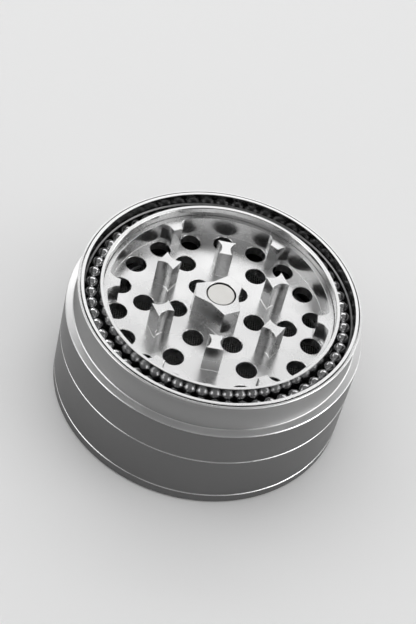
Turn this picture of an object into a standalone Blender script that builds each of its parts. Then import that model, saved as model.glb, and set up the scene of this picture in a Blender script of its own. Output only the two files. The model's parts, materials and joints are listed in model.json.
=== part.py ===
"""Hand-twist herb grinder with a ball-race rim, shown with its lid off.

Three turned sections screw together: a tray, a screen chamber and a grinding stage.
The origin is the centre of the tray's underside, +Z is up, and lengths are in metres.
"""
import math

import bmesh
import bpy

MM = 0.001

# ---- driving dimensions -------------------------------------------------------------
BODY_R = 31.42 * MM            # outside radius of all three sections
RIM_Z = 29.71 * MM             # top of the rim, the pegs and the hub
SEAM_LOW_Z = 2.54 * MM         # tray meets screen chamber
SEAM_HIGH_Z = 13.90 * MM       # screen chamber meets grinding stage
GAP = 0.30 * MM                # clearance between neighbouring pieces
CHAMFER = 0.15 * MM            # broken edge on the turned parts

# grinding stage
LIP_R = 29.75 * MM
LIP_DROP = 0.30 * MM           # lip's outer edge below the rim
LIP_TOP_DROP = 0.15 * MM       # lip's flat top below the rim
LIP_EDGE = 0.15 * MM           # width of the lip's sloping edge
COVE_DEPTH = 0.40 * MM         # finger groove around the upper wall
COVE_FOOT = (29.78 * MM, 22.75 * MM)
SHOULDER_R = 31.22 * MM
SHOULDER_Z = 22.48 * MM
FLOOR_Z = 22.81 * MM
FLOOR_UNDER_Z = 20.60 * MM
BOWL_R = 23.35 * MM
BOWL_WALL_R = 24.00 * MM       # outside of the thin bowl wall
LEDGE_Z = 27.55 * MM           # top of the bowl wall
SKIRT_BORE_R = 29.00 * MM

# cutting teeth, milled with one cutter
CUTTER_R = 2.60 * MM
HUB_LOBE_R = 5.65 * MM
HUB_LOBE_HALF_ANGLE = math.radians(18.5)
HUB_NOTCH_R = 3.60 * MM
PEG_IN_R = 11.35 * MM
PEG_OUT_R = 15.00 * MM
PEG_NECK = 0.95 * MM           # half the peg's narrowest width
PEG_SCOOP_R = 13.00 * MM       # radius at which the cutter passes a peg
TOOTH_IN_R = 20.80 * MM
TOOTH_NOSE = 1.05 * MM         # half the width of a wall tooth's nose
TOOTH_ROOT_R = 23.60 * MM      # inside the bowl wall
TOOTH_REACH = math.radians(78.0)   # end of the scoop beside a wall tooth
ROOT_DEPTH = 0.40 * MM         # how far teeth are sunk into the floor
FLUSH_STEP = 0.02 * MM         # wall teeth end this far under the ledge
TOOTH_COUNT = 6
FREE_PEG_ANGLE = 30.0
HUB_LOBES = 3
HUB_LOBE_ANGLE = 60.0

# drop-through holes: (radius of the circle, first angle, number of holes)
HOLE_R = 2.20 * MM
HOLE_CIRCLES = ((8.20 * MM, 0.0, 6), (15.20 * MM, 0.0, 6), (20.80 * MM, 10.0, 18))

# ball race
BALL_COUNT = 58
BALL_R = 1.25 * MM
BALL_PITCH_R = 26.65 * MM
BALL_Z = 25.90 * MM
CAGE_R = 0.35 * MM             # thin ring that keeps the balls one solid
GROOVE_Z = 23.30 * MM
TRACK_TOP_Z = 24.35 * MM
INNER_RACE_R = (24.30 * MM, 25.09 * MM)
OUTER_RACE_IN_R = 28.40 * MM
OUTER_RACE_WAIST_R = 28.25 * MM    # beside the balls
OUTER_RACE_WAIST_Z = 27.30 * MM
OUTER_RACE_SHOULDER = (27.97 * MM, 26.75 * MM)    # bevelled edge above the balls
OUTER_RACE_UNDERCUT_Z = 26.45 * MM
OUTER_RACE_OUT_R = 28.65 * MM
OUTER_RACE_FLANGE_R = 28.95 * MM
FLANGE_UNDER_Z = 28.90 * MM

# magnet in the hub
MAGNET_R = 2.88 * MM
POCKET_R = 3.15 * MM
POCKET_Z = 26.20 * MM
MAGNET_TOP_Z = RIM_Z - 0.15 * MM

# screen chamber
SPIGOT_R = 28.60 * MM          # outside of both threaded spigots
SPIGOT_H = 5.50 * MM
CHAMBER_R = 26.60 * MM
SEAT_R = 25.00 * MM            # bore of the ledge that carries the screen
SEAT_Z = (11.00 * MM, 12.00 * MM)
SCREEN_R = 26.25 * MM
SCREEN_H = 0.25 * MM
KEEPER_H = 1.00 * MM
LOWER_BORE_TOP_Z = 8.40 * MM

# tray
TRAY_R = 27.00 * MM
TRAY_FLOOR_Z = 1.20 * MM
TRAY_SPIGOT_H = 4.80 * MM
FOOT_CHAMFER = 0.45 * MM

STAGE_STEPS = 60               # facets around the grinding stage
STEPS = 48                     # facets around the other turned parts
SMALL_STEPS = 20               # facets around a hole or the magnet
CUT_OVER = 0.50 * MM           # how far a cutter stands out of what it cuts
COVE_POINTS = 7
SCOOP_POINTS = 6
BALL_SEGMENTS = 8
BALL_RINGS = 4


# ---- helpers ------------------------------------------------------------------------
def clear_scene():
    for obj in list(bpy.data.objects):
        bpy.data.objects.remove(obj, do_unlink=True)


def new_collection(name):
    collection = bpy.data.collections.new(name)
    bpy.context.scene.collection.children.link(collection)
    return collection


def material(name, color, roughness, metallic):
    mat = bpy.data.materials.new(name)
    mat.use_nodes = True
    shader = mat.node_tree.nodes["Principled BSDF"]
    shader.inputs["Base Color"].default_value = (*color, 1.0)
    shader.inputs["Roughness"].default_value = roughness
    shader.inputs["Metallic"].default_value = metallic
    return mat


def add_object(name, mesh, collection, mat=None):
    obj = bpy.data.objects.new(name, mesh)
    collection.objects.link(obj)
    if mat:
        mesh.materials.append(mat)
    return obj


def mesh_from(bm, name):
    bmesh.ops.recalc_face_normals(bm, faces=bm.faces)
    mesh = bpy.data.meshes.new(name)
    bm.to_mesh(mesh)
    bm.free()
    return mesh


def turned(name, profile, mat, closed=True, steps=STEPS):
    """A turned solid from (radius, z) points that run down its outer side.

    An open profile starts and ends on the axis; a closed one makes a ring.
    """
    mesh = bpy.data.meshes.new(name)
    verts = [(radius, 0.0, z) for radius, z in profile]
    edges = [(i, i + 1) for i in range(len(verts) - 1)]
    if closed:
        edges.append((len(verts) - 1, 0))
    mesh.from_pydata(verts, edges, [])
    obj = add_object(name, mesh, PARTS, mat)
    screw = obj.modifiers.new("turn", "SCREW")
    screw.axis = "Z"
    screw.angle = 2.0 * math.pi
    screw.steps = steps
    screw.render_steps = steps
    screw.use_merge_vertices = True
    screw.merge_threshold = 0.00001
    screw.use_smooth_shade = True
    return obj


def ring(name, r_in, r_out, z_low, z_high, mat):
    """A plain ring with its upper edges broken."""
    profile = [
        (r_in + CHAMFER, z_high), (r_out - CHAMFER, z_high), (r_out, z_high - CHAMFER),
        (r_out, z_low), (r_in, z_low), (r_in, z_high - CHAMFER),
    ]
    return turned(name, profile, mat)


def rotated(points, angle):
    c, s = math.cos(angle), math.sin(angle)
    return [(x * c - y * s, x * s + y * c) for x, y in points]


def add_prism(bm, outline, z_low, z_high):
    """An upright prism over a plane outline, added to bm."""
    base = bm.faces.new([bm.verts.new((x, y, z_low)) for x, y in outline])
    grown = bmesh.ops.extrude_face_region(bm, geom=[base])["geom"]
    top = [v for v in grown if isinstance(v, bmesh.types.BMVert)]
    bmesh.ops.translate(bm, verts=top, vec=(0.0, 0.0, z_high - z_low))


def boolean(obj, cutter, operation):
    mod = obj.modifiers.new(operation.lower(), "BOOLEAN")
    mod.operation = operation
    mod.object = cutter
    mod.solver = "EXACT"


def guide(name, bm):
    """A helper object for a Boolean, kept out of the model."""
    obj = add_object(name, mesh_from(bm, name), CUTTERS)
    obj.hide_render = True
    obj.display_type = "WIRE"
    return obj


def round_cutter(name, centres, radius, z_low, z_high):
    bm = bmesh.new()
    depth = z_high - z_low
    for x, y in centres:
        made = bmesh.ops.create_cone(bm, cap_ends=True, segments=SMALL_STEPS,
                                     radius1=radius, radius2=radius, depth=depth)
        bmesh.ops.translate(bm, verts=made["verts"], vec=(x, y, z_low + depth / 2))
    return guide(name, bm)


# ---- outlines of the teeth ----------------------------------------------------------
def scooped_side(centre_x, neck, x_start, x_end):
    """Points along a side that the round cutter has scooped, for y > 0."""
    centre_y = neck + CUTTER_R
    points = []
    first = math.asin((x_start - centre_x) / CUTTER_R)
    last = math.asin((x_end - centre_x) / CUTTER_R)
    for i in range(SCOOP_POINTS + 1):
        a = first + (last - first) * i / SCOOP_POINTS
        points.append((centre_x + CUTTER_R * math.sin(a), centre_y - CUTTER_R * math.cos(a)))
    return points


def mirrored_outline(side):
    return side + [(x, -y) for x, y in reversed(side)]


def peg_outline():
    return mirrored_outline(scooped_side(PEG_SCOOP_R, PEG_NECK, PEG_IN_R, PEG_OUT_R))


def wall_tooth_outline():
    reach = TOOTH_IN_R + CUTTER_R * math.sin(TOOTH_REACH)
    side = scooped_side(TOOTH_IN_R, TOOTH_NOSE, TOOTH_IN_R, reach)
    side.append((TOOTH_ROOT_R, side[-1][1]))
    return mirrored_outline(side)


def hub_outline():
    """Three flat-ended lobes with a shallow notch between neighbours."""
    points = []
    spacing = 2.0 * math.pi / HUB_LOBES
    for lobe in range(HUB_LOBES):
        middle = math.radians(HUB_LOBE_ANGLE) + spacing * lobe
        notch = middle + spacing / 2
        for a in (middle - HUB_LOBE_HALF_ANGLE, middle + HUB_LOBE_HALF_ANGLE):
            points.append((HUB_LOBE_R * math.cos(a), HUB_LOBE_R * math.sin(a)))
        points.append((HUB_NOTCH_R * math.cos(notch), HUB_NOTCH_R * math.sin(notch)))
    return points


def teeth_guide():
    bm = bmesh.new()
    low = FLOOR_Z - ROOT_DEPTH
    add_prism(bm, hub_outline(), low, RIM_Z)
    for i in range(TOOTH_COUNT):
        turn = 2.0 * math.pi * i / TOOTH_COUNT
        peg = rotated(peg_outline(), turn + math.radians(FREE_PEG_ANGLE))
        add_prism(bm, peg, low, RIM_Z)
        add_prism(bm, rotated(wall_tooth_outline(), turn), low, LEDGE_Z - FLUSH_STEP)
    return guide("teeth_guide", bm)


# ---- pieces -------------------------------------------------------------------------
def cove_profile():
    """The finger groove, from under the lip down to the shoulder."""
    top_r, top_z = LIP_R, RIM_Z - LIP_DROP - CHAMFER
    foot_r, foot_z = COVE_FOOT
    points = []
    for i in range(COVE_POINTS + 1):
        t = i / COVE_POINTS
        bulge = COVE_DEPTH * 4.0 * t * (1.0 - t)
        points.append((top_r + (foot_r - top_r) * t - bulge, top_z + (foot_z - top_z) * t))
    return points


def make_grinding_stage(mat):
    pocket_r = OUTER_RACE_FLANGE_R + GAP
    race_bore = OUTER_RACE_OUT_R + GAP
    lip_top = RIM_Z - LIP_TOP_DROP
    profile = [
        (0.0, FLOOR_Z), (BOWL_R, FLOOR_Z), (BOWL_R, LEDGE_Z), (BOWL_WALL_R, LEDGE_Z),
        (BOWL_WALL_R, GROOVE_Z), (race_bore, GROOVE_Z),
        (race_bore, FLANGE_UNDER_Z - GAP), (pocket_r, FLANGE_UNDER_Z - GAP),
        (pocket_r, lip_top), (LIP_R - LIP_EDGE, lip_top), (LIP_R, RIM_Z - LIP_DROP),
    ]
    profile += cove_profile()
    profile += [
        (SHOULDER_R, SHOULDER_Z), (BODY_R, SHOULDER_Z - 2 * CHAMFER),
        (BODY_R, SEAM_HIGH_Z + CHAMFER), (BODY_R - CHAMFER, SEAM_HIGH_Z),
        (SKIRT_BORE_R, SEAM_HIGH_Z), (SKIRT_BORE_R, FLOOR_UNDER_Z), (0.0, FLOOR_UNDER_Z),
    ]
    obj = turned("grinding_stage", profile, mat, closed=False, steps=STAGE_STEPS)
    boolean(obj, teeth_guide(), "UNION")
    centres = []
    for radius, first, count in HOLE_CIRCLES:
        for i in range(count):
            a = math.radians(first + 360.0 * i / count)
            centres.append((radius * math.cos(a), radius * math.sin(a)))
    holes = round_cutter("hole_cutter", centres, HOLE_R,
                         FLOOR_UNDER_Z - CUT_OVER, FLOOR_Z + CUT_OVER)
    boolean(obj, holes, "DIFFERENCE")
    pocket = round_cutter("pocket_cutter", [(0.0, 0.0)], POCKET_R, POCKET_Z, RIM_Z + CUT_OVER)
    boolean(obj, pocket, "DIFFERENCE")
    return obj


def make_outer_race(mat):
    low = GROOVE_Z + GAP
    profile = [
        (OUTER_RACE_IN_R, RIM_Z), (OUTER_RACE_FLANGE_R - CHAMFER, RIM_Z - CHAMFER),
        (OUTER_RACE_FLANGE_R, RIM_Z - 2 * CHAMFER), (OUTER_RACE_FLANGE_R, FLANGE_UNDER_Z),
        (OUTER_RACE_OUT_R, FLANGE_UNDER_Z), (OUTER_RACE_OUT_R, low),
        (OUTER_RACE_WAIST_R, low), (OUTER_RACE_WAIST_R, OUTER_RACE_UNDERCUT_Z),
        OUTER_RACE_SHOULDER, (OUTER_RACE_WAIST_R, OUTER_RACE_WAIST_Z),
    ]
    return turned("outer_race_ring", profile, mat)


def make_ball_train(mat):
    """All the balls on one circle, joined by a thin ring through their centres."""
    bm = bmesh.new()
    for i in range(BALL_COUNT):
        a = 2.0 * math.pi * i / BALL_COUNT
        made = bmesh.ops.create_uvsphere(bm, u_segments=BALL_SEGMENTS,
                                         v_segments=BALL_RINGS, radius=BALL_R)
        bmesh.ops.translate(bm, verts=made["verts"],
                            vec=(BALL_PITCH_R * math.cos(a), BALL_PITCH_R * math.sin(a), BALL_Z))
    balls = guide("ball_guide", bm)
    square = [
        (BALL_PITCH_R - CAGE_R, BALL_Z + CAGE_R), (BALL_PITCH_R + CAGE_R, BALL_Z + CAGE_R),
        (BALL_PITCH_R + CAGE_R, BALL_Z - CAGE_R), (BALL_PITCH_R - CAGE_R, BALL_Z - CAGE_R),
    ]
    obj = turned("ball_train", square, mat, steps=BALL_COUNT)
    boolean(obj, balls, "UNION")
    return obj


def make_screen_chamber(mat):
    top = SEAM_HIGH_Z - GAP
    low = SEAM_LOW_Z + GAP
    seat_low, seat_high = SEAT_Z
    spigot_top = SEAM_HIGH_Z + SPIGOT_H
    profile = [
        (CHAMBER_R, spigot_top), (SPIGOT_R - 2 * CHAMFER, spigot_top),
        (SPIGOT_R, spigot_top - 2 * CHAMFER), (SPIGOT_R, top), (BODY_R - CHAMFER, top),
        (BODY_R, top - CHAMFER), (BODY_R, low + CHAMFER), (BODY_R - CHAMFER, low),
        (SKIRT_BORE_R, low), (SKIRT_BORE_R, LOWER_BORE_TOP_Z), (SEAT_R, LOWER_BORE_TOP_Z),
        (SEAT_R, seat_high), (CHAMBER_R, seat_high),
    ]
    return turned("screen_chamber", profile, mat)


def make_tray(mat):
    spigot_top = SEAM_LOW_Z + TRAY_SPIGOT_H
    profile = [
        (0.0, TRAY_FLOOR_Z), (TRAY_R, TRAY_FLOOR_Z), (TRAY_R, spigot_top),
        (SPIGOT_R - 2 * CHAMFER, spigot_top), (SPIGOT_R, spigot_top - 2 * CHAMFER),
        (SPIGOT_R, SEAM_LOW_Z), (BODY_R - CHAMFER, SEAM_LOW_Z),
        (BODY_R, SEAM_LOW_Z - CHAMFER), (BODY_R, FOOT_CHAMFER),
        (BODY_R - FOOT_CHAMFER, 0.0), (0.0, 0.0),
    ]
    return turned("catch_tray", profile, mat, closed=False)


def disc(name, radius, z_low, z_high, mat, steps):
    profile = [
        (0.0, z_high), (radius - CHAMFER / 2, z_high), (radius, z_high - CHAMFER / 2),
        (radius, z_low), (0.0, z_low),
    ]
    return turned(name, profile, mat, closed=False, steps=steps)


def main():
    anodised = material("anodised_aluminium", (0.55, 0.55, 0.56), 0.38, 1.0)
    bright = material("turned_aluminium", (0.88, 0.88, 0.89), 0.18, 1.0)
    steel = material("polished_steel", (0.62, 0.62, 0.63), 0.12, 1.0)
    black = material("black_track", (0.02, 0.02, 0.02), 0.45, 0.0)
    mesh_steel = material("screen_wire", (0.40, 0.40, 0.41), 0.35, 1.0)
    magnet = material("coated_magnet", (0.78, 0.77, 0.74), 0.45, 0.3)

    make_tray(anodised)
    make_screen_chamber(anodised)
    seat_top = SEAT_Z[1]
    screen_low = seat_top + GAP
    screen_high = screen_low + SCREEN_H
    disc("screen_mesh", SCREEN_R, screen_low, screen_high, mesh_steel, STEPS)
    keeper_low = screen_high + GAP
    ring("screen_keeper_ring", SEAT_R, SCREEN_R, keeper_low, keeper_low + KEEPER_H, bright)
    make_grinding_stage(bright)
    race_low = GROOVE_Z + GAP
    ring("inner_race_ring", *INNER_RACE_R, race_low, RIM_Z, steel)
    make_outer_race(steel)
    track_in = INNER_RACE_R[1] + GAP
    track_out = OUTER_RACE_WAIST_R - GAP
    ring("ball_track", track_in, track_out, race_low, TRACK_TOP_Z, black)
    make_ball_train(steel)
    disc("hub_magnet", MAGNET_R, POCKET_Z + GAP, MAGNET_TOP_Z, magnet, SMALL_STEPS)


clear_scene()
PARTS = new_collection("herb_grinder")
CUTTERS = new_collection("cutters")
main()
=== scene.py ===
"""Looks for the open herb grinder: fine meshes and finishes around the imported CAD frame."""
import json
import math

import bmesh
import bpy
from mathutils import Matrix, Vector

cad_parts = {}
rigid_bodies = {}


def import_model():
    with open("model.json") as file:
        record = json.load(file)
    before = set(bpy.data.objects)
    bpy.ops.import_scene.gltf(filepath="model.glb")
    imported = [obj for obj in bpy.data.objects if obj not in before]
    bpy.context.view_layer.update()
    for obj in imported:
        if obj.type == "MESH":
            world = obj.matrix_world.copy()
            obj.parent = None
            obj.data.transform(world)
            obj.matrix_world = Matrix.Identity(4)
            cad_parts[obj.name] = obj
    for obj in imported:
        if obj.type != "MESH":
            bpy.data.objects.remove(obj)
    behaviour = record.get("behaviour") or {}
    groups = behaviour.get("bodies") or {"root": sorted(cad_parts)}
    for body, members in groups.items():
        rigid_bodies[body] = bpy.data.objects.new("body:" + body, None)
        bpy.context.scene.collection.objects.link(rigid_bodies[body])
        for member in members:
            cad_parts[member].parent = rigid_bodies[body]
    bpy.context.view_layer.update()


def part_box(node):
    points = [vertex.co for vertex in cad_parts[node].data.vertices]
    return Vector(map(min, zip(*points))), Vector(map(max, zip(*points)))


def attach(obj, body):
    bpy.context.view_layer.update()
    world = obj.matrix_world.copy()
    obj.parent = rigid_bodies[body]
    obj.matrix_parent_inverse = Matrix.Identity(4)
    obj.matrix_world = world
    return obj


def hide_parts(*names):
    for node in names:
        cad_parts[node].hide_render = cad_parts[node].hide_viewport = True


for start_object in list(bpy.data.objects):
    bpy.data.objects.remove(start_object, do_unlink=True)
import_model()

MM = 0.001
TAU = 2.0 * math.pi

# ---- places taken from the frame ----------------------------------------------------
STAGE_LOW, STAGE_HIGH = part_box("grinding_stage")
CHAMBER_LOW, CHAMBER_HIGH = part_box("screen_chamber")
TRAY_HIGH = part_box("catch_tray")[1]
INNER_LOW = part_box("inner_race_ring")[0]
OUTER_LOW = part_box("outer_race_ring")[0]
BALLS_LOW, BALLS_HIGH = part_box("ball_train")
TRACK_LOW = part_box("ball_track")[0]
MAGNET_LOW, MAGNET_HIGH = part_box("hub_magnet")
SCREEN_LOW, SCREEN_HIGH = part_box("screen_mesh")
KEEPER_LOW, KEEPER_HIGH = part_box("screen_keeper_ring")

RIM_Z = STAGE_HIGH.z
BODY_R = STAGE_HIGH.x
SEAM_HIGH_Z = STAGE_LOW.z
CAD_SEAM_GAP = 0.30 * MM    # the CAD leaves this under the chamber's bottom edge
SEAM_LOW_Z = CHAMBER_LOW.z - CAD_SEAM_GAP
BALL_Z = (BALLS_LOW.z + BALLS_HIGH.z) / 2

# ---- sizes of the fine meshes -------------------------------------------------------
STEPS = 192                 # flats around a turned piece
FILLET_POINTS = 3
HOLD = 0.03 * MM            # from a fillet to the point that keeps its flat wall flat
SEAM_GAP = 0.05 * MM
EDGE = 0.16 * MM            # bright chamfers beside the seams
NEAR = 0.01 * MM            # tolerance when faces are picked by place

LIP_R = 29.75 * MM
LIP_SEAM_R = 29.30 * MM     # the fine seam in the rim's top
LIP_DROP = 0.10 * MM        # the top outside the seam lies this much lower
LIP_BEVEL = 0.12 * MM
COVE_TOP_Z = RIM_Z - 0.60 * MM
COVE_POINTS = 12
COVE_DEPTH = 0.42 * MM
COVE_FOOT_R = 29.80 * MM
COVE_FOOT_Z = 22.74 * MM
FOOT_LINE = 0.16 * MM
SHOULDER_R = 31.24 * MM
SHOULDER_Z = 22.50 * MM
FLOOR_Z = 22.81 * MM
FLOOR_UNDER_Z = 20.60 * MM
BOWL_R = 23.35 * MM
BOWL_WALL_R = 24.22 * MM    # inner wall of the race groove, behind the inner ring
LEDGE_Z = 27.58 * MM
GROOVE_Z = 23.30 * MM
GROOVE_R = 28.72 * MM
GROOVE_SHELF_Z = 28.85 * MM
SKIRT_R = 29.00 * MM

CUTTER_R = 2.60 * MM
HUB_LOBE_R = 5.65 * MM
HUB_LOBE_HALF = math.radians(18.5)
HUB_NOTCH_R = 3.60 * MM
PEG_IN_R = 11.35 * MM
PEG_OUT_R = 15.00 * MM
PEG_NECK = 0.95 * MM
PEG_SCOOP_R = 13.00 * MM
TOOTH_IN_R = 20.80 * MM
TOOTH_NOSE = 1.05 * MM
TOOTH_REACH = math.radians(78.0)
TOOTH_ROOT_R = 23.60 * MM
TOOTH_COUNT = 6

HOLE_R = 2.20 * MM
HOLE_CIRCLES = ((8.20 * MM, 0.0, 6), (15.20 * MM, 0.0, 6), (20.80 * MM, 10.0, 18))
HOLE_STEPS = 48
HOLE_BREAK = 0.10 * MM
POCKET_BREAK = 0.06 * MM
POCKET_R = 3.12 * MM
MAGNET_R = 2.82 * MM
MAGNET_STEPS = 96

INNER_RING_IN_R = 24.30 * MM
INNER_RING_OUT_R = 25.09 * MM
OUTER_TOP_R = 28.42 * MM    # inner edge of the outer ring's top
OUTER_SEAM_GAP = 0.22 * MM  # from the ring's flange to the seam in the rim
OUTER_STEP_R = 28.66 * MM   # its wall below the flange
OUTER_STEP_Z = 28.90 * MM
OUTER_WALL_R = 28.32 * MM   # its bore below the shoulder
OUTER_SHOULDER_R = 27.97 * MM
OUTER_SHOULDER_LOW_Z = 26.73 * MM
OUTER_SHOULDER_TOP_Z = 26.96 * MM
OUTER_UNDERCUT_Z = 26.45 * MM
OUTER_WAIST_R = 28.25 * MM
OUTER_WAIST_Z = 27.20 * MM
TRACK_IN_R = 25.16 * MM
TRACK_OUT_R = 28.28 * MM
TRACK_GAP = 0.05 * MM       # between the balls and the track that hugs them
TRACK_ARC = (math.radians(225.0), math.radians(357.0))
TRACK_POINTS = 14

BALL_COUNT = 58
BALL_PITCH_R = 26.65 * MM
BALL_R = 1.40 * MM
BALL_CUTS = 7               # a cube's edges are cut this often, then blown up to a ball

SPIGOT_R = 28.60 * MM
CHAMBER_R = 26.60 * MM
SEAT_R = 25.00 * MM
SEAT_TOP_Z = 12.00 * MM
LOWER_BORE_TOP_Z = 8.40 * MM
TRAY_R = 27.00 * MM
TRAY_FLOOR_Z = 1.20 * MM
FOOT_CHAMFER = 0.45 * MM
FOOT_IN_R = 24.50 * MM      # the underside is hollow inside this radius
FOOT_RECESS = 0.30 * MM
THREAD_LEAD = 2.00 * MM
THREAD_DEPTH = 0.16 * MM
THREAD_ROW = 0.125 * MM

WIRE_PITCH = 0.50 * MM
WIRE_R = 0.10 * MM
WIRE_LIFT = 0.95            # of a wire's radius, up or down at each crossing
SCREEN_RIM = 0.30 * MM


# ---- mesh helpers -------------------------------------------------------------------
def link(name, mesh):
    obj = bpy.data.objects.new(name, mesh)
    bpy.context.scene.collection.objects.link(obj)
    return obj


def finish_mesh(bm, name, smooth_angle=30.0):
    bmesh.ops.recalc_face_normals(bm, faces=bm.faces)
    mesh = bpy.data.meshes.new(name)
    bm.to_mesh(mesh)
    bm.free()
    smooth(mesh, smooth_angle)
    return mesh


def smooth(mesh, angle=30.0):
    mesh.shade_smooth()
    mesh.set_sharp_from_angle(angle=math.radians(angle))


def rounded(points, closed):
    """(r, z, fillet) corners to (r, z) points, with an arc at each corner that has a fillet.
    A point just outside each arc holds the flat walls flat when they are shaded smooth."""
    out = []
    count = len(points)
    for i, (r, z, fillet) in enumerate(points):
        if not fillet or (not closed and i in (0, count - 1)):
            out.append((r, z))
            continue
        here = Vector((r, z))
        before = Vector(points[i - 1][:2]) - here
        after = Vector(points[(i + 1) % count][:2]) - here
        half = before.angle(after) / 2
        reach = min(fillet / math.tan(half), before.length * 0.45, after.length * 0.45)
        start = here + before.normalized() * reach
        end = here + after.normalized() * reach
        out.append(tuple(start + before.normalized() * min(HOLD, before.length * 0.04)))
        for k in range(FILLET_POINTS + 1):
            t = k / FILLET_POINTS
            point = start * (1 - t) ** 2 + here * 2 * t * (1 - t) + end * t ** 2
            out.append((point.x, point.y))
        out.append(tuple(end + after.normalized() * min(HOLD, after.length * 0.04)))
    return out


def lathe(name, profile, closed=True, steps=STEPS):
    """Turns (r, z) points about Z. An open profile is closed with flat discs at its ends."""
    bm = bmesh.new()
    rings = []
    for r, z in profile:
        ring = []
        for k in range(steps):
            a = TAU * k / steps
            ring.append(bm.verts.new((r * math.cos(a), r * math.sin(a), z)))
        rings.append(ring)
    pairs = list(zip(rings, rings[1:]))
    if closed:
        pairs.append((rings[-1], rings[0]))
    else:
        bm.faces.new(rings[0])
        bm.faces.new(list(reversed(rings[-1])))
    for upper, lower in pairs:
        for k in range(steps):
            j = (k + 1) % steps
            bm.faces.new((upper[k], lower[k], lower[j], upper[j]))
    return finish_mesh(bm, name)


def rows(r, z_start, z_end):
    """Points down or up a straight wall, close enough together to carry a thread."""
    count = max(2, round(abs(z_end - z_start) / THREAD_ROW))
    return [(r, z_start + (z_end - z_start) * i / count) for i in range(count + 1)]


def cut_thread(mesh, r, z_low, z_high, depth):
    """Raises a helical ridge on the wall of radius r, fading out at both ends."""
    fade = THREAD_LEAD / 2
    for vert in mesh.vertices:
        x, y, z = vert.co
        radius = math.hypot(x, y)
        if abs(radius - r) > 0.02 * MM or not z_low <= z <= z_high:
            continue
        turn = math.atan2(y, x) / TAU
        phase = (z / THREAD_LEAD - turn) % 1.0
        crest = min(1.0, max(0.0, 1.5 - abs(phase - 0.5) * 5.0))
        ends = min(1.0, (z - z_low) / fade, (z_high - z) / fade)
        scale = (radius + depth * crest * ends) / radius
        vert.co.x = x * scale
        vert.co.y = y * scale


def turned_copy(points, turn):
    c, s = math.cos(turn), math.sin(turn)
    return [(x * c - y * s, x * s + y * c) for x, y in points]


def offset_outline(points, amount):
    """Moves a closed counter-clockwise outline outwards by amount."""
    out = []
    count = len(points)
    for i in range(count):
        here = Vector(points[i])
        a = (here - Vector(points[i - 1])).normalized()
        b = (Vector(points[(i + 1) % count]) - here).normalized()
        normal_a = Vector((a.y, -a.x))
        normal_b = Vector((b.y, -b.x))
        mid = (normal_a + normal_b).normalized()
        reach = amount / max(0.5, mid.dot(normal_a))
        out.append(tuple(here + mid * reach))
    return out


def area(points):
    total = 0.0
    for (x0, y0), (x1, y1) in zip(points, points[1:] + points[:1]):
        total += x0 * y1 - x1 * y0
    return total / 2


def add_stack(bm, outline, levels):
    """A closed solid from an outline at several (z, offset) levels, bottom to top."""
    if area(outline) < 0:
        outline = list(reversed(outline))
    layers = []
    for z, offset in levels:
        grown = offset_outline(outline, offset)
        layers.append([bm.verts.new((x, y, z)) for x, y in grown])
    bm.faces.new(list(reversed(layers[0])))
    bm.faces.new(layers[-1])
    count = len(outline)
    for low, high in zip(layers, layers[1:]):
        for k in range(count):
            j = (k + 1) % count
            bm.faces.new((low[k], low[j], high[j], high[k]))


def apply_boolean(obj, bm, operation):
    """Joins the closed solids in bm to obj, or cuts them from it."""
    bmesh.ops.recalc_face_normals(bm, faces=bm.faces)
    mesh = bpy.data.meshes.new("tool")
    bm.to_mesh(mesh)
    bm.free()
    tool = link("tool", mesh)
    mod = obj.modifiers.new("bool", "BOOLEAN")
    mod.operation = operation
    mod.object = tool
    mod.solver = "EXACT"
    graph = bpy.context.evaluated_depsgraph_get()
    result = bpy.data.meshes.new_from_object(obj.evaluated_get(graph))
    obj.modifiers.clear()
    obj.data = result
    bpy.data.objects.remove(tool, do_unlink=True)


def piece(name, mesh, node, body, materials):
    obj = mesh if isinstance(mesh, bpy.types.Object) else link(name, mesh)
    obj.data.materials.clear()
    for mat in materials:
        obj.data.materials.append(mat)
    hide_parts(node)
    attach(obj, body)
    return obj


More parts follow.
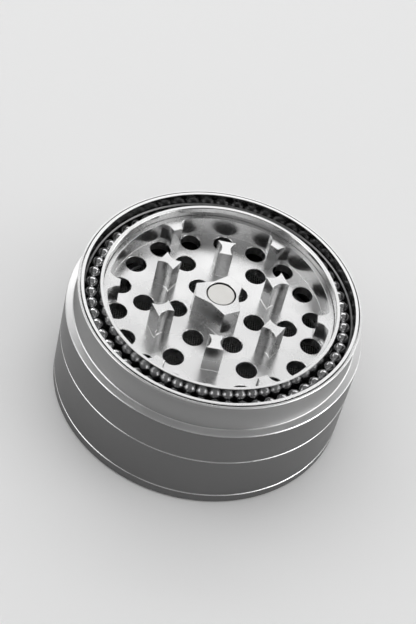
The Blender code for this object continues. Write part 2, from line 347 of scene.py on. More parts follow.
# ---- material helpers ---------------------------------------------------------------
class Shader:
    """A small builder around one material's node tree."""

    def __init__(self, name):
        self.mat = bpy.data.materials.new(name)
        self.mat.use_nodes = True
        self.tree = self.mat.node_tree
        self.main = self.tree.nodes["Principled BSDF"]
        self.coords = self.node("ShaderNodeTexCoord").outputs["Object"]

    def node(self, kind, **settings):
        made = self.tree.nodes.new(kind)
        for key, value in settings.items():
            setattr(made, key, value)
        return made

    def put(self, socket, value):
        if isinstance(value, bpy.types.NodeSocket):
            self.tree.links.new(value, socket)
        else:
            socket.default_value = value

    def math(self, operation, a, b=0.0, c=0.0):
        made = self.node("ShaderNodeMath", operation=operation)
        for socket, value in zip(made.inputs, (a, b, c)):
            self.put(socket, value)
        return made.outputs[0]

    def noise(self, scale, detail=3.0, roughness=0.5, stretch=None):
        vector = self.coords
        if stretch:
            scaled = self.node("ShaderNodeMapping")
            self.put(scaled.inputs["Vector"], vector)
            scaled.inputs["Scale"].default_value = stretch
            vector = scaled.outputs[0]
        made = self.node("ShaderNodeTexNoise")
        self.put(made.inputs["Vector"], vector)
        made.inputs["Scale"].default_value = scale
        made.inputs["Detail"].default_value = detail
        made.inputs["Roughness"].default_value = roughness
        return made.outputs["Fac"]

    def rings(self, pitch):
        """Concentric turning lines about Z, pitch apart."""
        wave = self.node("ShaderNodeTexWave", wave_type="RINGS", rings_direction="Z")
        self.put(wave.inputs["Vector"], self.coords)
        wave.inputs["Scale"].default_value = TAU / (20.0 * pitch)
        wave.inputs["Distortion"].default_value = 0.6
        wave.inputs["Detail"].default_value = 1.0
        return wave.outputs["Fac"]

    def levels(self, pitch):
        """Lines around a wall, pitch apart in height."""
        wave = self.node("ShaderNodeTexWave", wave_type="BANDS", bands_direction="Z")
        self.put(wave.inputs["Vector"], self.coords)
        wave.inputs["Scale"].default_value = TAU / (20.0 * pitch)
        wave.inputs["Distortion"].default_value = 0.8
        wave.inputs["Detail"].default_value = 1.0
        return wave.outputs["Fac"]

    def remap(self, value, low, high, out_low, out_high):
        made = self.node("ShaderNodeMapRange")
        for socket, item in zip(made.inputs, (value, low, high, out_low, out_high)):
            self.put(socket, item)
        return made.outputs[0]

    def ramp(self, value, low_color, high_color):
        made = self.node("ShaderNodeMix", data_type="RGBA")
        self.put(made.inputs[0], value)
        made.inputs[6].default_value = (*low_color, 1.0)
        made.inputs[7].default_value = (*high_color, 1.0)
        return made.outputs[2]

    def bump(self, height, strength, distance):
        made = self.node("ShaderNodeBump")
        self.put(made.inputs["Height"], height)
        made.inputs["Strength"].default_value = strength
        made.inputs["Distance"].default_value = distance
        self.put(self.main.inputs["Normal"], made.outputs[0])

    def turned_tangent(self, amount):
        tangent = self.node("ShaderNodeTangent", direction_type="RADIAL", axis="Z")
        self.put(self.main.inputs["Tangent"], tangent.outputs[0])
        self.main.inputs["Anisotropic"].default_value = amount

    def set(self, **values):
        for key, value in values.items():
            self.put(self.main.inputs[key.replace("_", " ")], value)


def cut_aluminium(name="cut_aluminium", shade=0.90, rough=0.24, metal=1.0):
    """Bright turned and milled aluminium: fine rings, slight roughness variation."""
    s = Shader(name)
    cloud = s.noise(180.0, 4.0)
    fine = s.noise(5200.0, 2.0)
    rings = s.rings(0.16 * MM)
    levels = s.levels(0.22 * MM)
    lines = s.math("ADD", rings, levels)
    s.set(Metallic=metal)
    s.put(s.main.inputs["Base Color"], s.ramp(cloud, (shade * 0.96,) * 3, (shade,) * 3))
    rough_base = s.remap(cloud, 0.3, 0.7, rough * 0.85, rough * 1.2)
    s.put(s.main.inputs["Roughness"], s.math("MULTIPLY_ADD", fine, 0.04, rough_base))
    s.bump(s.math("MULTIPLY_ADD", fine, 0.35, lines), 0.08, 0.004 * MM)
    s.turned_tangent(0.35)
    return s.mat


def anodised(name="anodised_body", shade=0.18, rough=0.36, metal=1.0):
    """Bead-blasted, clear anodised aluminium: satin grey with a fine even grain."""
    s = Shader(name)
    cloud = s.noise(60.0, 3.0)
    grain = s.noise(7000.0, 3.0, 0.6)
    s.set(Metallic=metal)
    s.put(s.main.inputs["Base Color"],
          s.ramp(cloud, (shade * 0.92,) * 3, (shade,) * 3))
    s.put(s.main.inputs["Roughness"], s.math("MULTIPLY_ADD", grain, 0.12, rough))
    s.bump(grain, 0.22, 0.010 * MM)
    return s.mat


def race_steel(name="race_steel", rough=0.13, shade=0.88):
    s = Shader(name)
    lines = s.levels(0.12 * MM)
    fine = s.noise(3000.0, 2.0)
    s.set(Metallic=1.0)
    s.put(s.main.inputs["Base Color"], s.ramp(fine, (shade * 0.94,) * 3, (shade,) * 3))
    s.put(s.main.inputs["Roughness"], s.math("MULTIPLY_ADD", fine, 0.06, rough))
    s.bump(lines, 0.06, 0.003 * MM)
    s.turned_tangent(0.4)
    return s.mat


def ball_steel():
    s = Shader("ball_steel")
    fine = s.noise(2500.0, 3.0)
    s.set(Metallic=1.0)
    s.put(s.main.inputs["Base Color"], s.ramp(fine, (0.84, 0.84, 0.85), (0.92, 0.92, 0.93)))
    s.put(s.main.inputs["Roughness"], s.math("MULTIPLY_ADD", fine, 0.05, 0.13))
    s.bump(fine, 0.05, 0.002 * MM)
    return s.mat


# Near-black: the ball track's own colour, also used as painted shade in the stage's seam and
# magnet pocket
def track_black():
    s = Shader("track_black")
    fine = s.noise(4000.0, 3.0)
    s.set(Metallic=0.0)
    s.put(s.main.inputs["Base Color"], s.ramp(fine, (0.003, 0.003, 0.003), (0.008, 0.008, 0.008)))
    s.put(s.main.inputs["Roughness"], s.math("MULTIPLY_ADD", fine, 0.2, 0.45))
    s.bump(fine, 0.2, 0.006 * MM)
    return s.mat


def magnet_coat():
    s = Shader("magnet_coat")
    fine = s.noise(2600.0, 4.0, 0.6)
    cloud = s.noise(500.0, 3.0)
    s.set(Metallic=0.35)
    s.put(s.main.inputs["Base Color"], s.ramp(cloud, (0.74, 0.73, 0.70), (0.82, 0.81, 0.79)))
    s.put(s.main.inputs["Roughness"], s.math("MULTIPLY_ADD", fine, 0.15, 0.38))
    s.bump(fine, 0.15, 0.006 * MM)
    return s.mat


def screen_wire():
    s = Shader("screen_wire")
    fine = s.noise(3000.0, 2.0)
    s.set(Metallic=1.0)
    s.put(s.main.inputs["Base Color"], s.ramp(fine, (0.60, 0.60, 0.60), (0.72, 0.72, 0.72)))
    s.put(s.main.inputs["Roughness"], s.math("MULTIPLY_ADD", fine, 0.1, 0.28))
    return s.mat


# ---- outlines of the teeth ----------------------------------------------------------
def scooped_side(centre_x, neck, x_start, x_end, count=10):
    first = math.asin((x_start - centre_x) / CUTTER_R)
    last = math.asin((x_end - centre_x) / CUTTER_R)
    points = []
    for i in range(count + 1):
        a = first + (last - first) * i / count
        points.append((centre_x + CUTTER_R * math.sin(a),
                       neck + CUTTER_R - CUTTER_R * math.cos(a)))
    return points


def mirrored(side):
    return side + [(x, -y) for x, y in reversed(side)]


def peg_outline():
    return mirrored(scooped_side(PEG_SCOOP_R, PEG_NECK, PEG_IN_R, PEG_OUT_R))


def wall_tooth_outline():
    reach = TOOTH_IN_R + CUTTER_R * math.sin(TOOTH_REACH)
    side = scooped_side(TOOTH_IN_R, TOOTH_NOSE, TOOTH_IN_R, reach)
    side.append((TOOTH_ROOT_R, side[-1][1]))
    return mirrored(side)


def hub_outline():
    points = []
    for lobe in range(3):
        middle = math.radians(60.0) + TAU * lobe / 3
        notch = middle + TAU / 6
        for a in (middle - HUB_LOBE_HALF, middle + HUB_LOBE_HALF):
            points.append((HUB_LOBE_R * math.cos(a), HUB_LOBE_R * math.sin(a)))
        points.append((HUB_NOTCH_R * math.cos(notch), HUB_NOTCH_R * math.sin(notch)))
    return points


def tooth_levels(top):
    """Sunk foot, small root fillet, straight side and a broken top edge."""
    root = 0.10 * MM
    brk = 0.06 * MM
    return [(FLOOR_Z - 0.30 * MM, root), (FLOOR_Z - 0.001 * MM, root),
            (FLOOR_Z + root, 0.0),
            (FLOOR_Z + root + HOLD, 0.0), (top - brk, 0.0), (top, -brk)]


# ---- pieces -------------------------------------------------------------------------
# Order of the finishes on the grinding stage, painted shades among them. The chamber and the tray
# have three.
CUT, SKIN, BRIGHT, NECK, INSIDE_SHADE, GAP_SHADE, SHOULDER = range(7)
SECTION_BRIGHT, SECTION_INSIDE_SHADE = 1, 2
# the outer race's wall and bevel finishes are darker copies of its steel: painted shade on its
# bore, its seam and its lower bevel
RACE_WALL_SHADE, RACE_BEVEL_SHADE = 1, 2    # and on the outer race ring, after its bright top


def brighten_edges(mesh, index, tops):
    """Gives the narrow chamfers of the outer wall, with these top heights, a bright cut."""
    for face in mesh.polygons:
        r = math.hypot(face.center.x, face.center.y)
        if r < BODY_R - EDGE or r > BODY_R - NEAR:
            continue
        for top in tops:
            if top - EDGE - NEAR < face.center.z < top + NEAR:
                face.material_index = index


def paint_inside_shade(mesh, index, radius, above=-1.0):
    """Paints shade on the faces within radius of the axis, and above that height, with a
    near-black copy of the anodised finish.
    """
    for face in mesh.polygons:
        r = math.hypot(face.center.x, face.center.y)
        if r < radius and face.center.z > above:
            face.material_index = index


def cove_points():
    """The hollow outer wall between the lip and the shoulder."""
    points = []
    for i in range(1, COVE_POINTS):
        t = i / COVE_POINTS
        bulge = COVE_DEPTH * 4 * t * (1 - t)
        points.append((LIP_R + (COVE_FOOT_R - LIP_R) * t - bulge,
                       COVE_TOP_Z + (COVE_FOOT_Z - COVE_TOP_Z) * t))
    return points


def stage_profile():
    cove = cove_points()
    upper = rounded([
        (BOWL_R - 1.5 * MM, FLOOR_Z, 0), (BOWL_R, FLOOR_Z, 0.10 * MM),
        (BOWL_R, LEDGE_Z, 0.06 * MM), (BOWL_WALL_R, LEDGE_Z, 0.05 * MM),
        (BOWL_WALL_R, GROOVE_Z, 0), (GROOVE_R, GROOVE_Z, 0),
        (GROOVE_R, GROOVE_SHELF_Z, 0), (LIP_SEAM_R, GROOVE_SHELF_Z, 0),
        (LIP_SEAM_R, RIM_Z - LIP_DROP, 0.03 * MM),
        (LIP_R - LIP_BEVEL, RIM_Z - LIP_DROP - NEAR, 0.03 * MM),
        (LIP_R, RIM_Z - 2 * LIP_BEVEL, 0.03 * MM),
        (LIP_R, COVE_TOP_Z, 0),
    ], closed=False)
    lower = rounded([
        (cove[-1][0], cove[-1][1], 0),
        (COVE_FOOT_R - 0.02 * MM, COVE_FOOT_Z + FOOT_LINE, 0.01 * MM),
        (COVE_FOOT_R + FOOT_LINE, COVE_FOOT_Z, 0.01 * MM),
        (SHOULDER_R, SHOULDER_Z, 0.05 * MM), (BODY_R, SHOULDER_Z - 0.20 * MM, 0.05 * MM),
        (BODY_R, SEAM_HIGH_Z + EDGE, 0.03 * MM), (BODY_R - EDGE, SEAM_HIGH_Z, 0.03 * MM),
        (SKIRT_R + 0.3 * MM, SEAM_HIGH_Z, 0), (SKIRT_R, SEAM_HIGH_Z + 0.3 * MM, 0),
    ], closed=False)[1:]
    thread = rows(SKIRT_R, SEAM_HIGH_Z + 0.35 * MM, FLOOR_UNDER_Z - 0.3 * MM)
    under = [(SKIRT_R, FLOOR_UNDER_Z), (SKIRT_R - 2.0 * MM, FLOOR_UNDER_Z)]
    return upper + cove + lower + thread + under


def add_teeth(obj):
    teeth = bmesh.new()
    add_stack(teeth, hub_outline(), tooth_levels(RIM_Z))
    for i in range(TOOTH_COUNT):
        turn = TAU * i / TOOTH_COUNT
        add_stack(teeth, turned_copy(peg_outline(), turn + math.radians(30.0)),
                  tooth_levels(RIM_Z))
        add_stack(teeth, turned_copy(wall_tooth_outline(), turn),
                  tooth_levels(LEDGE_Z - NEAR))
    apply_boolean(obj, teeth, "UNION")


def cut_holes(obj):
    """The drop-through holes, with broken edges at the top, then the magnet's pocket."""
    holes = bmesh.new()
    circle = [(math.cos(TAU * k / HOLE_STEPS), math.sin(TAU * k / HOLE_STEPS))
              for k in range(HOLE_STEPS)]
    for radius, first, count in HOLE_CIRCLES:
        for i in range(count):
            a = math.radians(first) + TAU * i / count
            cx, cy = radius * math.cos(a), radius * math.sin(a)
            outline = [(cx + x * HOLE_R, cy + y * HOLE_R) for x, y in circle]
            add_stack(holes, outline, [
                (FLOOR_UNDER_Z - 0.5 * MM, 0.0), (FLOOR_Z - HOLE_BREAK, 0.0),
                (FLOOR_Z, HOLE_BREAK * 0.8), (FLOOR_Z + 0.3 * MM, HOLE_BREAK * 0.8)])
    apply_boolean(obj, holes, "DIFFERENCE")

    pocket = bmesh.new()
    outline = [(x * POCKET_R, y * POCKET_R) for x, y in circle]
    add_stack(pocket, outline, [
        (MAGNET_LOW.z - 0.1 * MM, 0.0), (RIM_Z - 0.07 * MM, 0.0),
        (RIM_Z, POCKET_BREAK), (RIM_Z + 0.5 * MM, POCKET_BREAK)])
    apply_boolean(obj, pocket, "DIFFERENCE")


def stage_finish(r, z):
    """Which finish or painted shade a face of the grinding stage has, from the place of its
    middle.
    """
    below_rim = RIM_Z - 0.12 * MM
    below_lip = RIM_Z - 0.25 * MM
    cove_foot = SHOULDER_Z - 0.05 * MM
    if cove_foot < z < COVE_FOOT_Z + FOOT_LINE and r > COVE_FOOT_R:
        return SHOULDER if r > COVE_FOOT_R + FOOT_LINE else BRIGHT
    # painted shade in the gap round the magnet: its pocket's walls get the near-black of the
    # track
    if r < POCKET_R + 0.02 * MM and FLOOR_Z + 1.0 * MM < z < below_rim:
        return GAP_SHADE
    # painted shade in the seam in the rim's top: its wall gets the near-black of the track
    if abs(r - LIP_SEAM_R) < NEAR and z < below_rim:
        return GAP_SHADE
    if r > LIP_R - LIP_BEVEL and z > below_lip:
        return BRIGHT
    if r > LIP_SEAM_R + 0.03 * MM and z < below_lip:
        return NECK if z > cove_foot else SKIN
    # painted shade: the underside and the inner thread of the stage get a near-black copy of the
    # anodised finish
    if z < FLOOR_UNDER_Z + 0.1 * MM:
        return INSIDE_SHADE
    return CUT


def make_stage(materials):
    mesh = lathe("grinding_stage_fine", stage_profile(), closed=False)
    cut_thread(mesh, SKIRT_R, SEAM_HIGH_Z + 0.5 * MM, FLOOR_UNDER_Z - 0.5 * MM, -THREAD_DEPTH)
    obj = link("grinding_stage_fine", mesh)
    add_teeth(obj)
    cut_holes(obj)
    smooth(obj.data, 25.0)
    piece(obj.name, obj, "grinding_stage", "grinding_section", materials)
    for face in obj.data.polygons:
        face.material_index = stage_finish(math.hypot(face.center.x, face.center.y),
                                           face.center.z)
    brighten_edges(obj.data, BRIGHT, (SHOULDER_Z, SEAM_HIGH_Z + EDGE))


def make_outer_race(materials):
    low = OUTER_LOW.z
    profile = rounded([
        (OUTER_TOP_R, RIM_Z, 0.06 * MM),
        (LIP_SEAM_R - OUTER_SEAM_GAP - 0.04 * MM, RIM_Z, 0.03 * MM),
        (LIP_SEAM_R - OUTER_SEAM_GAP, RIM_Z - 0.10 * MM, 0.02 * MM),
        (LIP_SEAM_R - OUTER_SEAM_GAP, OUTER_STEP_Z, 0), (OUTER_STEP_R, OUTER_STEP_Z, 0),
        (OUTER_STEP_R, low, 0), (OUTER_WALL_R, low, 0), (OUTER_WALL_R, OUTER_UNDERCUT_Z, 0),
        (OUTER_SHOULDER_R, OUTER_SHOULDER_LOW_Z, 0.03 * MM),
        (OUTER_SHOULDER_R, OUTER_SHOULDER_TOP_Z, 0.12 * MM),
        (OUTER_WAIST_R, OUTER_WAIST_Z, 0.05 * MM),
    ], closed=True)
    mesh = lathe("outer_race_fine", profile)
    obj = piece("outer_race_fine", mesh, "outer_race_ring", "grinding_section", materials)
    waist = OUTER_WAIST_Z + 0.02 * MM
    # painted shade: the bore above the waist and the seam get a near-black copy of the steel, the
    # bevel below the waist a darker one
    for face in obj.data.polygons:
        r = math.hypot(face.center.x, face.center.y)
        z = face.center.z
        in_bore = r < OUTER_TOP_R + 0.03 * MM
        in_seam = r > LIP_SEAM_R - OUTER_SEAM_GAP - 0.02 * MM
        if (in_seam or (in_bore and z > waist)) and z < RIM_Z - 0.11 * MM:
            face.material_index = RACE_WALL_SHADE
        elif in_bore and z < waist:
            face.material_index = RACE_BEVEL_SHADE


def make_inner_race(mat):
    r_in, r_out = INNER_RING_IN_R, INNER_RING_OUT_R
    low = INNER_LOW.z
    profile = rounded([
        (r_in, RIM_Z - 0.16 * MM, 0.04 * MM), (r_in + 0.14 * MM, RIM_Z, 0.04 * MM),
        (r_out, RIM_Z, 0.08 * MM), (r_out, low, 0), (r_in, low, 0),
    ], closed=True)
    mesh = lathe("inner_race_fine", profile)
    piece("inner_race_fine", mesh, "inner_race_ring", "grinding_section", [mat])


def make_track(mat):
    """A channel that hugs the lower half of the balls."""
    hug = BALL_R + TRACK_GAP
    points = [(TRACK_OUT_R, BALL_Z + 0.05 * MM), (TRACK_OUT_R, TRACK_LOW.z),
              (TRACK_IN_R, TRACK_LOW.z), (TRACK_IN_R, BALL_Z - 1.05 * MM)]
    first, last = TRACK_ARC
    for i in range(TRACK_POINTS + 1):
        a = first + (last - first) * i / TRACK_POINTS
        points.append((BALL_PITCH_R + hug * math.cos(a), BALL_Z + hug * math.sin(a)))
    mesh = lathe("ball_track_fine", points)
    piece("ball_track_fine", mesh, "ball_track", "grinder_rise_body", [mat])


def make_balls(mat):
    bm = bmesh.new()
    bmesh.ops.create_cube(bm, size=2.0)
    bmesh.ops.subdivide_edges(bm, edges=bm.edges, cuts=BALL_CUTS, use_grid_fill=True)
    for vert in bm.verts:
        vert.co = vert.co.normalized() * BALL_R
    mesh = finish_mesh(bm, "ball", 180.0)
    mesh.materials.append(mat)
    for i in range(BALL_COUNT):
        a = TAU * i / BALL_COUNT
        obj = link("ball_%02d" % (i + 1), mesh)
        obj.location = (BALL_PITCH_R * math.cos(a), BALL_PITCH_R * math.sin(a), BALL_Z)
        obj.rotation_euler = (i * 0.7, i * 1.1, i * 1.9)
        if i == 0:
            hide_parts("ball_train")
        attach(obj, "balls")


def make_magnet(mat):
    profile = rounded([
        (MAGNET_R - 1.0 * MM, MAGNET_HIGH.z, 0), (MAGNET_R, MAGNET_HIGH.z, 0.18 * MM),
        (MAGNET_R, MAGNET_LOW.z, 0.1 * MM), (MAGNET_R - 1.0 * MM, MAGNET_LOW.z, 0),
    ], closed=False)
    mesh = lathe("hub_magnet_fine", profile, closed=False, steps=MAGNET_STEPS)
    piece("hub_magnet_fine", mesh, "hub_magnet", "grinding_section", [mat])


def make_chamber(materials):
    top = SEAM_HIGH_Z - SEAM_GAP
    low = SEAM_LOW_Z + SEAM_GAP
    spigot_top = CHAMBER_HIGH.z
    outer = rounded([
        (CHAMBER_R, SEAT_TOP_Z, 0), (CHAMBER_R, spigot_top, 0.15 * MM),
        (SPIGOT_R - 0.3 * MM, spigot_top, 0.1 * MM), (SPIGOT_R, spigot_top - 0.3 * MM, 0),
    ], closed=False)
    thread = rows(SPIGOT_R, spigot_top - 0.4 * MM, top + 0.4 * MM)
    wall = rounded([
        (SPIGOT_R, top + 0.3 * MM, 0), (SPIGOT_R, top, 0), (BODY_R - EDGE, top, 0.03 * MM),
        (BODY_R, top - EDGE, 0.03 * MM), (BODY_R, low + EDGE, 0.03 * MM),
        (BODY_R - EDGE, low, 0.03 * MM), (SKIRT_R + 0.3 * MM, low, 0),
        (SKIRT_R, low + 0.3 * MM, 0),
    ], closed=False)
    female = rows(SKIRT_R, low + 0.35 * MM, LOWER_BORE_TOP_Z - 0.3 * MM)
    seat = [(SKIRT_R, LOWER_BORE_TOP_Z), (SEAT_R, LOWER_BORE_TOP_Z), (SEAT_R, SEAT_TOP_Z)]
    mesh = lathe("screen_chamber_fine", outer + thread + wall + female + seat)
    cut_thread(mesh, SPIGOT_R, top + 0.6 * MM, spigot_top - 0.4 * MM, THREAD_DEPTH)
    cut_thread(mesh, SKIRT_R, low + 0.5 * MM, LOWER_BORE_TOP_Z - 0.5 * MM, -THREAD_DEPTH)
    obj = piece("screen_chamber_fine", mesh, "screen_chamber", "screen_section",
                materials)
    # painted shade inside the chamber
    paint_inside_shade(obj.data, SECTION_INSIDE_SHADE, CHAMBER_R + 0.05 * MM)
    brighten_edges(obj.data, SECTION_BRIGHT, (top, low + EDGE))


def make_tray(materials):
    spigot_top = TRAY_HIGH.z
    upper = rounded([
        (TRAY_R - 2.0 * MM, TRAY_FLOOR_Z, 0), (TRAY_R, TRAY_FLOOR_Z, 1.0 * MM),
        (TRAY_R, spigot_top, 0.15 * MM), (SPIGOT_R - 0.3 * MM, spigot_top, 0.1 * MM),
        (SPIGOT_R, spigot_top - 0.3 * MM, 0),
    ], closed=False)
    thread = rows(SPIGOT_R, spigot_top - 0.4 * MM, SEAM_LOW_Z + 0.4 * MM)
    lower = rounded([
        (SPIGOT_R, SEAM_LOW_Z + 0.3 * MM, 0), (SPIGOT_R, SEAM_LOW_Z, 0),
        (BODY_R - EDGE, SEAM_LOW_Z, 0.03 * MM), (BODY_R, SEAM_LOW_Z - EDGE, 0.03 * MM),
        (BODY_R, FOOT_CHAMFER, 0.1 * MM), (BODY_R - FOOT_CHAMFER, 0.0, 0.1 * MM),
        (FOOT_IN_R, 0.0, 0.1 * MM), (FOOT_IN_R - 0.5 * MM, FOOT_RECESS, 0.1 * MM),
        (FOOT_IN_R - 2.5 * MM, FOOT_RECESS, 0),
    ], closed=False)
    mesh = lathe("catch_tray_fine", upper + thread + lower, closed=False)
    cut_thread(mesh, SPIGOT_R, SEAM_LOW_Z + 0.6 * MM, spigot_top - 0.4 * MM, THREAD_DEPTH)
    obj = piece("catch_tray_fine", mesh, "catch_tray", "tray", materials)
    # painted shade inside the tray, above its floor
    paint_inside_shade(obj.data, SECTION_INSIDE_SHADE, TRAY_R + 0.05 * MM, TRAY_FLOOR_Z - 0.1 * MM)
    brighten_edges(obj.data, SECTION_BRIGHT, (SEAM_LOW_Z,))


def make_keeper(mat):
    r_in, r_out = SEAT_R, KEEPER_HIGH.x
    profile = rounded([
        (r_in, KEEPER_HIGH.z, 0.2 * MM), (r_out, KEEPER_HIGH.z, 0.2 * MM),
        (r_out, KEEPER_LOW.z, 0.1 * MM), (r_in, KEEPER_LOW.z, 0.1 * MM),
    ], closed=True)
    mesh = lathe("screen_keeper_fine", profile)
    piece("screen_keeper_fine", mesh, "screen_keeper_ring", "screen_rise_body", [mat])


def make_screen(mat):
    """Woven wire: two crossing sets of wires that pass over and under one another."""
    radius = SCREEN_HIGH.x - SCREEN_RIM
    middle = (SCREEN_LOW.z + SCREEN_HIGH.z) / 2
    count = int(radius / WIRE_PITCH)
    bm = bmesh.new()
    for direction in (0, 1):
        for i in range(-count, count + 1):
            across = (i + 0.5) * WIRE_PITCH
            if abs(across) >= radius - WIRE_PITCH:
                continue
            half = int(math.sqrt(radius * radius - across * across) / WIRE_PITCH)
            rings = []
            for j in range(-half, half + 1):
                along = (j + 0.5) * WIRE_PITCH
                over = 1 if (i + j + direction) % 2 == 0 else -1
                z = middle + over * WIRE_R * WIRE_LIFT
                ring = []
                for dx, dz in ((WIRE_R, 0.0), (0.0, WIRE_R), (-WIRE_R, 0.0), (0.0, -WIRE_R)):
                    if direction == 0:
                        ring.append(bm.verts.new((along, across + dx, z + dz)))
                    else:
                        ring.append(bm.verts.new((across + dx, along, z + dz)))
                rings.append(ring)
            for a, b in zip(rings, rings[1:]):
                for k in range(4):
                    m = (k + 1) % 4
                    bm.faces.new((a[k], a[m], b[m], b[k]))
            bm.faces.new(rings[0])
            bm.faces.new(list(reversed(rings[-1])))
    mesh = finish_mesh(bm, "screen_wires_fine", 100.0)
    piece("screen_wires_fine", mesh, "screen_mesh", "screen_section", [mat])


# ---- stage, light and camera --------------------------------------------------------
BACKDROP = 0.78         # seen by the camera above the edge of the floor
SURROUNDINGS = 0.035    # what the metal mirrors between the panels
FLOOR_HALF = 1.6        # metres
FLOOR_SHADE = 0.84
FLOOR_DROP = 0.02 * MM  # keeps the floor clear of the tray's underside
FADE_FROM = 0.35        # the camera sees the floor turn into the backdrop
FADE_TO = 0.95          # between these distances from the axis, in metres


def fade_to_backdrop(s):
    distance = s.node("ShaderNodeVectorMath", operation="LENGTH")
    s.put(distance.inputs[0], s.coords)
    far = s.remap(distance.outputs["Value"], FADE_FROM, FADE_TO, 0.0, 1.0)
    seen = s.node("ShaderNodeLightPath").outputs["Is Camera Ray"]
    glow = s.node("ShaderNodeEmission")
    glow.inputs["Strength"].default_value = BACKDROP
    mix = s.node("ShaderNodeMixShader")
    s.put(mix.inputs[0], s.math("MULTIPLY", far, seen))
    s.put(mix.inputs[1], s.main.outputs[0])
    s.put(mix.inputs[2], glow.outputs[0])
    s.put(s.tree.nodes["Material Output"].inputs["Surface"], mix.outputs[0])


def make_floor():
    mesh = bpy.data.meshes.new("floor")
    size = FLOOR_HALF
    mesh.from_pydata([(-size, -size, -FLOOR_DROP), (size, -size, -FLOOR_DROP),
                      (size, size, -FLOOR_DROP), (-size, size, -FLOOR_DROP)],
                     [], [(0, 1, 2, 3)])
    floor = link("floor", mesh)
    s = Shader("pale_floor")
    s.set(Roughness=0.9)
    s.put(s.main.inputs["Base Color"], (FLOOR_SHADE, FLOOR_SHADE, FLOOR_SHADE, 1.0))
    fade_to_backdrop(s)
    mesh.materials.append(s.mat)


LIGHT_AIM_Z = 20.0 * MM


def aim(obj, target, roll=0.0):
    direction = Vector(target) - obj.location
    turn = direction.to_track_quat("-Z", "Y")
    obj.rotation_euler = (turn.to_matrix() @ Matrix.Rotation(roll, 3, "Z")).to_euler()


def on_dome(azimuth, elevation, distance):
    a, e = math.radians(azimuth), math.radians(elevation)
    return Vector((math.cos(a) * math.cos(e), math.sin(a) * math.cos(e), math.sin(e))) * distance


def add_light(name, azimuth, elevation, distance, width, height, radiance):
    """A soft panel facing the object; radiance is the brightness a mirror shows."""
    data = bpy.data.lights.new(name, "AREA")
    data.shape = "RECTANGLE"
    data.size = width
    data.size_y = height
    data.energy = radiance * math.pi * width * height
    light = bpy.data.objects.new(name, data)
    bpy.context.scene.collection.objects.link(light)
    light.location = on_dome(azimuth, elevation, distance)
    light.visible_camera = False
    aim(light, (0.0, 0.0, LIGHT_AIM_Z))
    return light


# Each light: name, azimuth and elevation in degrees, then distance, width and height in
# metres, the brightness that a mirror shows, and the kind of surface it leaves alone.
LIGHTS = (
    ("back_panel", 90.0, 43.0, 0.60, 0.75, 0.28, 1.10, None),
    ("left_panel", 178.0, 33.0, 0.60, 0.38, 0.38, 1.00, None),
    ("right_panel", -14.0, 33.0, 0.60, 0.38, 0.38, 0.95, None),
    ("front_panel", -96.0, 44.0, 0.70, 0.60, 0.30, 0.22, None),
    ("front_low", -96.0, 15.0, 0.70, 1.40, 0.42, 0.22, None),
    ("back_low", 84.0, 15.0, 0.70, 1.40, 0.42, 0.40, None),
    ("left_low", 174.0, 15.0, 0.70, 1.40, 0.42, 0.34, None),
    ("right_low", -6.0, 15.0, 0.70, 1.40, 0.42, 0.34, None),
    ("right_key", -24.0, 9.0, 0.60, 0.42, 0.20, 5.00, "matt"),
    ("strip_20", 20.0, 17.0, 0.66, 0.20, 0.52, 1.50, "matt"),
    ("strip_112", 112.0, 17.0, 0.66, 0.20, 0.52, 1.50, "matt"),
    ("strip_205", 205.0, 17.0, 0.66, 0.20, 0.52, 1.50, "matt"),
    ("top_panel", 0.0, 90.0, 0.80, 0.80, 0.80, 0.12, None),
    ("floor_fill", 0.0, 90.0, 1.20, 2.40, 2.40, 0.95, "shiny"),
)


def make_light():
    world = bpy.data.worlds.new("studio")
    bpy.context.scene.world = world
    world.use_nodes = True
    tree = world.node_tree
    background = tree.nodes["Background"]
    background.inputs["Color"].default_value = (1.0, 1.0, 1.0, 1.0)
    path = tree.nodes.new("ShaderNodeLightPath")
    strength = tree.nodes.new("ShaderNodeMath")
    strength.operation = "MULTIPLY_ADD"
    tree.links.new(path.outputs["Is Camera Ray"], strength.inputs[0])
    strength.inputs[1].default_value = BACKDROP - SURROUNDINGS
    strength.inputs[2].default_value = SURROUNDINGS
    tree.links.new(strength.outputs[0], background.inputs["Strength"])
    for *values, left_alone in LIGHTS:
        light = add_light(*values)
        light.visible_diffuse = left_alone != "matt"
        light.visible_glossy = left_alone != "shiny"


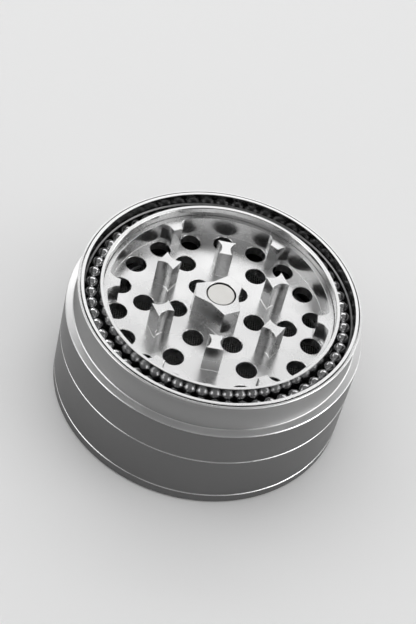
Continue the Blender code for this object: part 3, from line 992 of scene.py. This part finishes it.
CAMERA_AZIMUTH = -96.5          # degrees
CAMERA_ELEVATION = 47.1465
CAMERA_ROLL = 14.955
CAMERA_DISTANCE = 380.32 * MM   # from the middle of the rim
CAMERA_LENS = 106.58            # both in millimetres, as Blender keeps them
CAMERA_SENSOR = 36.0
AIM_RIGHT = -1.65 * MM
AIM_FORWARD = -5.85 * MM


def make_camera():
    data = bpy.data.cameras.new("camera")
    data.lens = CAMERA_LENS
    data.sensor_width = CAMERA_SENSOR
    data.clip_start = 0.01
    camera = bpy.data.objects.new("camera", data)
    bpy.context.scene.collection.objects.link(camera)
    rim = Vector((0.0, 0.0, RIM_Z))
    camera.location = rim + on_dome(CAMERA_AZIMUTH, CAMERA_ELEVATION, CAMERA_DISTANCE)
    a = math.radians(CAMERA_AZIMUTH + 90.0)
    right = Vector((math.cos(a), math.sin(a), 0.0))
    forward = Vector((-math.sin(a), math.cos(a), 0.0))
    target = rim + right * AIM_RIGHT + forward * AIM_FORWARD
    aim(camera, target, math.radians(CAMERA_ROLL))
    bpy.context.scene.camera = camera
    bpy.context.scene.view_settings.view_transform = "Standard"


def main():
    cut = cut_aluminium()
    edge = cut_aluminium("bright_edge", 0.92, 0.30)
    skin = anodised()
    neck = anodised("anodised_neck", 0.32, 0.42, 0.80)
    # painted shade: a near-black copy of the anodised finish for the faces inside the pieces
    inside = anodised("inside_painted_shade", 0.05)
    # the track's own black, also painted as shade in the stage's gaps
    black_and_gap_shade = track_black()
    shoulder = cut_aluminium("turned_shoulder", 0.92, 0.32, 0.85)
    steel = race_steel()
    make_stage([cut, skin, edge, neck, inside, black_and_gap_shade, shoulder])
    # the race wall and race bevel steels are darker copies: painted shade
    make_outer_race([steel, race_steel("race_wall_shade", 0.18, 0.11),
                     race_steel("race_bevel_shade", 0.30, 0.42)])
    make_inner_race(race_steel("inner_race_steel", 0.15, 0.84))
    make_track(black_and_gap_shade)
    make_balls(ball_steel())
    make_magnet(magnet_coat())
    make_chamber([skin, edge, inside])
    make_tray([skin, edge, inside])
    make_keeper(cut)
    make_screen(screen_wire())
    make_floor()
    make_light()
    make_camera()


main()
